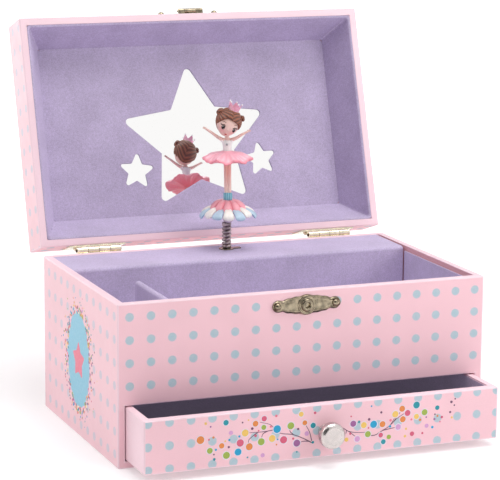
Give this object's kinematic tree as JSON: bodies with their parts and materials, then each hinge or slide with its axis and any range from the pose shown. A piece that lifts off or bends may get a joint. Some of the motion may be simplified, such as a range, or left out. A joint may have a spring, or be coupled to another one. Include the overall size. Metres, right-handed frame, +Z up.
{
  "type": "ballerina jewellery box",
  "caption": "Paper-covered musical jewellery box with a dancer on a spring, a hinged lid with a star mirror, a latch and a front drawer.",
  "frame": {"origin": "centre of the underside of the base board", "axes": "+Z up, -Y towards the front with the drawer, +X to the right seen from the front; stored with the lid open and the drawer ajar"},
  "size_m": [0.2, 0.2283, 0.2094],
  "materials": {
    "printed_paper": "matt printed paper over board",
    "grey_board": "plain grey board",
    "lavender_flock": "short flocked pile",
    "plum_lining": "matt dark lining",
    "mirror_film": "polished mirror sheet",
    "nickel_plate": "nickel plated, slightly worn",
    "gilt_hinge": "pale gilt plating",
    "movement_gilt": "gilt die casting",
    "movement_brass": "turned brass",
    "movement_steel": "ground steel",
    "bright_key": "bright plating",
    "polished_knob": "polished metal",
    "dark_spring": "dark drawn wire",
    "skirt_paint": "satin painted plastic",
    "skin_paint": "satin painted plastic",
    "tutu_paint": "satin painted plastic",
    "bodice_paint": "satin painted plastic",
    "hair_paint": "satin painted plastic",
    "crown_paint": "satin painted plastic"
  },
  "bodies": {
    "box": {"base_board": "printed_paper", "side_boards": "printed_paper", "back_board": "printed_paper", "front_board": "printed_paper", "shelf_board": "grey_board", "floor_lining": "lavender_flock", "compartment_lining": "lavender_flock", "divider": "lavender_flock", "platform_front": "lavender_flock", "platform_top": "lavender_flock", "platform_eyelet": "dark_spring", "latch_plate": "nickel_plate", "latch_stud": "nickel_plate", "latch_nails": "nickel_plate", "hinge_body_leaves": "gilt_hinge", "hinge_pins": "gilt_hinge", "hinge_body_nails": "gilt_hinge", "movement_bedplate": "movement_gilt", "comb": "movement_steel", "comb_screws": "movement_steel", "governor_frame": "movement_brass", "movement_screws": "movement_steel"},
    "lid": {"lid_top_board": "printed_paper", "lid_front_board": "printed_paper", "lid_back_board": "printed_paper", "lid_side_boards": "printed_paper", "lid_front_back_cards": "lavender_flock", "lid_side_cards": "lavender_flock", "star_panel": "lavender_flock", "mirror_pane": "mirror_film", "hinge_lid_leaves": "gilt_hinge", "hinge_lid_nails": "gilt_hinge", "hasp_plate": "nickel_plate", "hasp_nails": "nickel_plate", "hasp_pin": "nickel_plate"},
    "tongue": {"hasp_tongue": "nickel_plate"},
    "drawer": {"drawer_front": "printed_paper", "drawer_sides": "printed_paper", "drawer_back": "printed_paper", "drawer_bottom": "printed_paper", "drawer_lining": "plum_lining", "knob": "polished_knob", "knob_screw": "movement_steel"},
    "drum_group": {"drum": "movement_brass", "drum_arbor": "movement_steel"},
    "winding_group": {"spring_barrel": "movement_brass", "mainspring": "movement_steel", "winding_arbor": "movement_steel", "winding_key": "bright_key"},
    "governor_wheel_group": {"governor_wheel": "movement_brass"},
    "fan_group": {"governor_fan": "movement_steel"},
    "dancer_flex": {"dancer_spring": "dark_spring"},
    "dancer": {"dancer_skirt": "skirt_paint", "dancer_legs": "skin_paint", "dancer_tutu": "tutu_paint", "dancer_body": "bodice_paint", "dancer_head": "skin_paint", "dancer_hair": "hair_paint", "dancer_crown": "crown_paint"}
  },
  "joints": [
    {"name": "lid_hinge", "type": "hinge", "parent": "box", "child": "lid", "pos_m": [0, 0.066, 0.08425], "axis": [1, 0, 0], "range_deg": [0, 107.5]},
    {"name": "hasp_swing", "type": "hinge", "parent": "lid", "child": "tongue", "pos_m": [0, 0.10897, 0.20806], "axis": [1, 0, 0], "range_deg": [0, 180]},
    {"name": "drawer_slide", "type": "slide", "parent": "box", "child": "drawer", "axis": [0, 1, 0], "range_m": [-0.075, 0.0272]},
    {"name": "drum_turn", "type": "hinge", "parent": "box", "child": "drum_group", "pos_m": [0, 0.0493, 0.065], "axis": [0, 0, 1], "continuous": true},
    {"name": "key_turn", "type": "hinge", "parent": "box", "child": "winding_group", "pos_m": [0, 0.066, 0.045], "axis": [0, 1, 0], "continuous": true},
    {"name": "governor_wheel_turn", "type": "hinge", "parent": "box", "child": "governor_wheel_group", "pos_m": [0.0091, 0.0493, 0.0566], "axis": [0, 0, 1], "continuous": true},
    {"name": "fan_turn", "type": "hinge", "parent": "box", "child": "fan_group", "pos_m": [0.0146, 0.0493, 0.0541], "axis": [0, 1, 0], "continuous": true},
    {"name": "dancer_fold", "type": "hinge", "parent": "box", "child": "dancer_flex", "pos_m": [0, 0.04085, 0.0795], "axis": [1, 0, 0], "range_deg": [0, 90], "deforming": ["dancer_spring"]},
    {"name": "dancer_turn", "type": "hinge", "parent": "dancer_flex", "child": "dancer", "pos_m": [0, 0.0493, 0.1], "axis": [0, 0, 1], "continuous": true}
  ],
  "couplings": [
    {"joint": "dancer_fold", "follows": "lid_hinge", "ratio": 0.8372},
    {"joint": "dancer_turn", "follows": "drum_turn", "ratio": 1},
    {"joint": "key_turn", "follows": "drum_turn", "ratio": -0.225},
    {"joint": "governor_wheel_turn", "follows": "drum_turn", "ratio": -5},
    {"joint": "fan_turn", "follows": "drum_turn", "ratio": 75}
  ]
}
